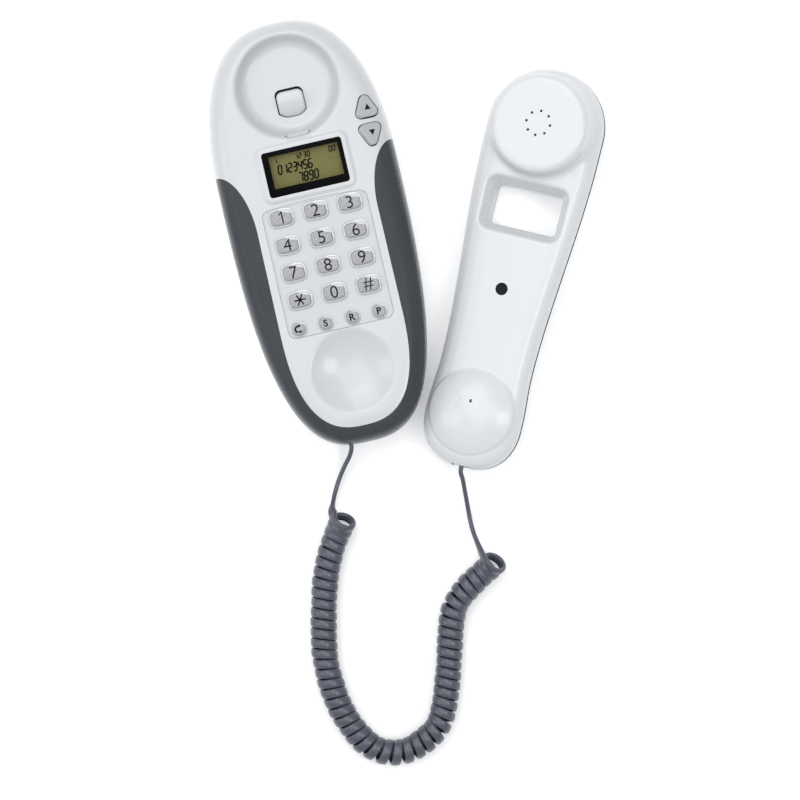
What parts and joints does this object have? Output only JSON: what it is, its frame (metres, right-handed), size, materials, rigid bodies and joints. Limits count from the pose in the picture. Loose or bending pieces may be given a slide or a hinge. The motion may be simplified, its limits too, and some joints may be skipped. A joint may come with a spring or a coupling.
{
  "type": "corded wall telephone",
  "caption": "Slim corded wall telephone lying on its back, with keypad and small display, its handset lifted off beside it and joined by a curly cord.",
  "frame": {"origin": "centre of the flat back of the base, which lies on the table or against the wall", "axes": "+Z out of the base's front face, +Y towards the earpiece end, +X to the right seen from the front"},
  "size_m": [0.1993, 0.3696, 0.0386],
  "materials": {
    "white_shell": "satin moulded ABS",
    "dark_trim": "glossy moulded plastic",
    "panel": "satin film overlay",
    "lens": "clear with a black printed frame",
    "lcd": "reflective liquid crystal panel",
    "silicone": "matt silicone",
    "board": "solder mask",
    "black_plastic": "moulded",
    "steel": "zinc plated",
    "brass": "thin disc in a holder",
    "aluminium": "drawn can",
    "black_rubber": "matt",
    "key_caps": "translucent grey with clear skirt",
    "arrow_keys": "satin",
    "cord_jacket": "satin flexible vinyl",
    "clear_plug": "clear moulded plastic"
  },
  "bodies": {
    "base": {"back_cover": "white_shell", "top_cover": "white_shell", "side_trim": "dark_trim", "keypad_panel": "panel", "display_lens": "lens", "lcd_module": "lcd", "keypad_mat": "silicone", "main_board": "board", "switch_board": "board", "hook_switch": "black_plastic", "hook_pin": "steel", "hook_spring": "steel", "ringer": "brass", "handset_socket": "black_plastic", "line_socket": "black_plastic", "case_screws": "steel", "base_plug": "clear_plug", "base_lead": "cord_jacket", "cord_coil": "cord_jacket", "handset_lead": "cord_jacket"},
    "key_1_body": {"key_1": "key_caps"},
    "key_2_body": {"key_2": "key_caps"},
    "key_3_body": {"key_3": "key_caps"},
    "key_4_body": {"key_4": "key_caps"},
    "key_5_body": {"key_5": "key_caps"},
    "key_6_body": {"key_6": "key_caps"},
    "key_7_body": {"key_7": "key_caps"},
    "key_8_body": {"key_8": "key_caps"},
    "key_9_body": {"key_9": "key_caps"},
    "key_star_body": {"key_star": "key_caps"},
    "key_0_body": {"key_0": "key_caps"},
    "key_hash_body": {"key_hash": "key_caps"},
    "key_talk_body": {"key_talk": "key_caps"},
    "key_store_body": {"key_store": "key_caps"},
    "key_redial_body": {"key_redial": "key_caps"},
    "key_program_body": {"key_program": "key_caps"},
    "key_up_body": {"key_up": "arrow_keys"},
    "key_down_body": {"key_down": "arrow_keys"},
    "hook": {"hook_lever": "white_shell"},
    "hanger": {"hanger_tab": "white_shell"},
    "handset": {"handset_front": "white_shell", "handset_back": "white_shell", "receiver": "black_plastic", "microphone": "aluminium", "microphone_boot": "black_rubber", "ballast_weight": "steel", "handset_jack": "black_plastic", "handset_screw": "steel", "screw_cover": "black_rubber", "handset_plug": "clear_plug"}
  },
  "joints": [
    {"name": "key_1_press", "type": "slide", "parent": "base", "child": "key_1_body", "axis": [0, 0, -1], "range_m": [0, 0.0012], "stiffness_N_per_m": 300, "springref_m": -0.0005},
    {"name": "key_2_press", "type": "slide", "parent": "base", "child": "key_2_body", "axis": [0, 0, -1], "range_m": [0, 0.0012], "stiffness_N_per_m": 300, "springref_m": -0.0005},
    {"name": "key_3_press", "type": "slide", "parent": "base", "child": "key_3_body", "axis": [0, 0, -1], "range_m": [0, 0.0012], "stiffness_N_per_m": 300, "springref_m": -0.0005},
    {"name": "key_4_press", "type": "slide", "parent": "base", "child": "key_4_body", "axis": [0, 0, -1], "range_m": [0, 0.0012], "stiffness_N_per_m": 300, "springref_m": -0.0005},
    {"name": "key_5_press", "type": "slide", "parent": "base", "child": "key_5_body", "axis": [0, 0, -1], "range_m": [0, 0.0012], "stiffness_N_per_m": 300, "springref_m": -0.0005},
    {"name": "key_6_press", "type": "slide", "parent": "base", "child": "key_6_body", "axis": [0, 0, -1], "range_m": [0, 0.0012], "stiffness_N_per_m": 300, "springref_m": -0.0005},
    {"name": "key_7_press", "type": "slide", "parent": "base", "child": "key_7_body", "axis": [0, 0, -1], "range_m": [0, 0.0012], "stiffness_N_per_m": 300, "springref_m": -0.0005},
    {"name": "key_8_press", "type": "slide", "parent": "base", "child": "key_8_body", "axis": [0, 0, -1], "range_m": [0, 0.0012], "stiffness_N_per_m": 300, "springref_m": -0.0005},
    {"name": "key_9_press", "type": "slide", "parent": "base", "child": "key_9_body", "axis": [0, 0, -1], "range_m": [0, 0.0012], "stiffness_N_per_m": 300, "springref_m": -0.0005},
    {"name": "key_star_press", "type": "slide", "parent": "base", "child": "key_star_body", "axis": [0, 0, -1], "range_m": [0, 0.0012], "stiffness_N_per_m": 300, "springref_m": -0.0005},
    {"name": "key_0_press", "type": "slide", "parent": "base", "child": "key_0_body", "axis": [0, 0, -1], "range_m": [0, 0.0012], "stiffness_N_per_m": 300, "springref_m": -0.0005},
    {"name": "key_hash_press", "type": "slide", "parent": "base", "child": "key_hash_body", "axis": [0, 0, -1], "range_m": [0, 0.0012], "stiffness_N_per_m": 300, "springref_m": -0.0005},
    {"name": "key_talk_press", "type": "slide", "parent": "base", "child": "key_talk_body", "axis": [0, 0, -1], "range_m": [0, 0.0012], "stiffness_N_per_m": 300, "springref_m": -0.0005},
    {"name": "key_store_press", "type": "slide", "parent": "base", "child": "key_store_body", "axis": [0, 0, -1], "range_m": [0, 0.0012], "stiffness_N_per_m": 300, "springref_m": -0.0005},
    {"name": "key_redial_press", "type": "slide", "parent": "base", "child": "key_redial_body", "axis": [0, 0, -1], "range_m": [0, 0.0012], "stiffness_N_per_m": 300, "springref_m": -0.0005},
    {"name": "key_program_press", "type": "slide", "parent": "base", "child": "key_program_body", "axis": [0, 0, -1], "range_m": [0, 0.0012], "stiffness_N_per_m": 300, "springref_m": -0.0005},
    {"name": "key_up_press", "type": "slide", "parent": "base", "child": "key_up_body", "axis": [0, 0, -1], "range_m": [0, 0.0012], "stiffness_N_per_m": 300, "springref_m": -0.0005},
    {"name": "key_down_press", "type": "slide", "parent": "base", "child": "key_down_body", "axis": [0, 0, -1], "range_m": [0, 0.0012], "stiffness_N_per_m": 300, "springref_m": -0.0005},
    {"name": "hook_turn", "type": "hinge", "parent": "base", "child": "hook", "pos_m": [0, 0.0575, 0.0215], "axis": [-1, 0, 0], "range_deg": [0, 12], "stiffness_Nm_per_rad": 0.04, "springref_deg": -8.59, "deforming": ["hook_spring"]},
    {"name": "hanger_pull", "type": "slide", "parent": "base", "child": "hanger", "axis": [0, 0, 1], "range_m": [0, 0.005]},
    {"name": "handset_lift", "type": "slide", "parent": "base", "child": "handset", "axis": [0, 0, 1], "range_m": [0, 0.12], "deforming": ["handset_lead"]}
  ]
}
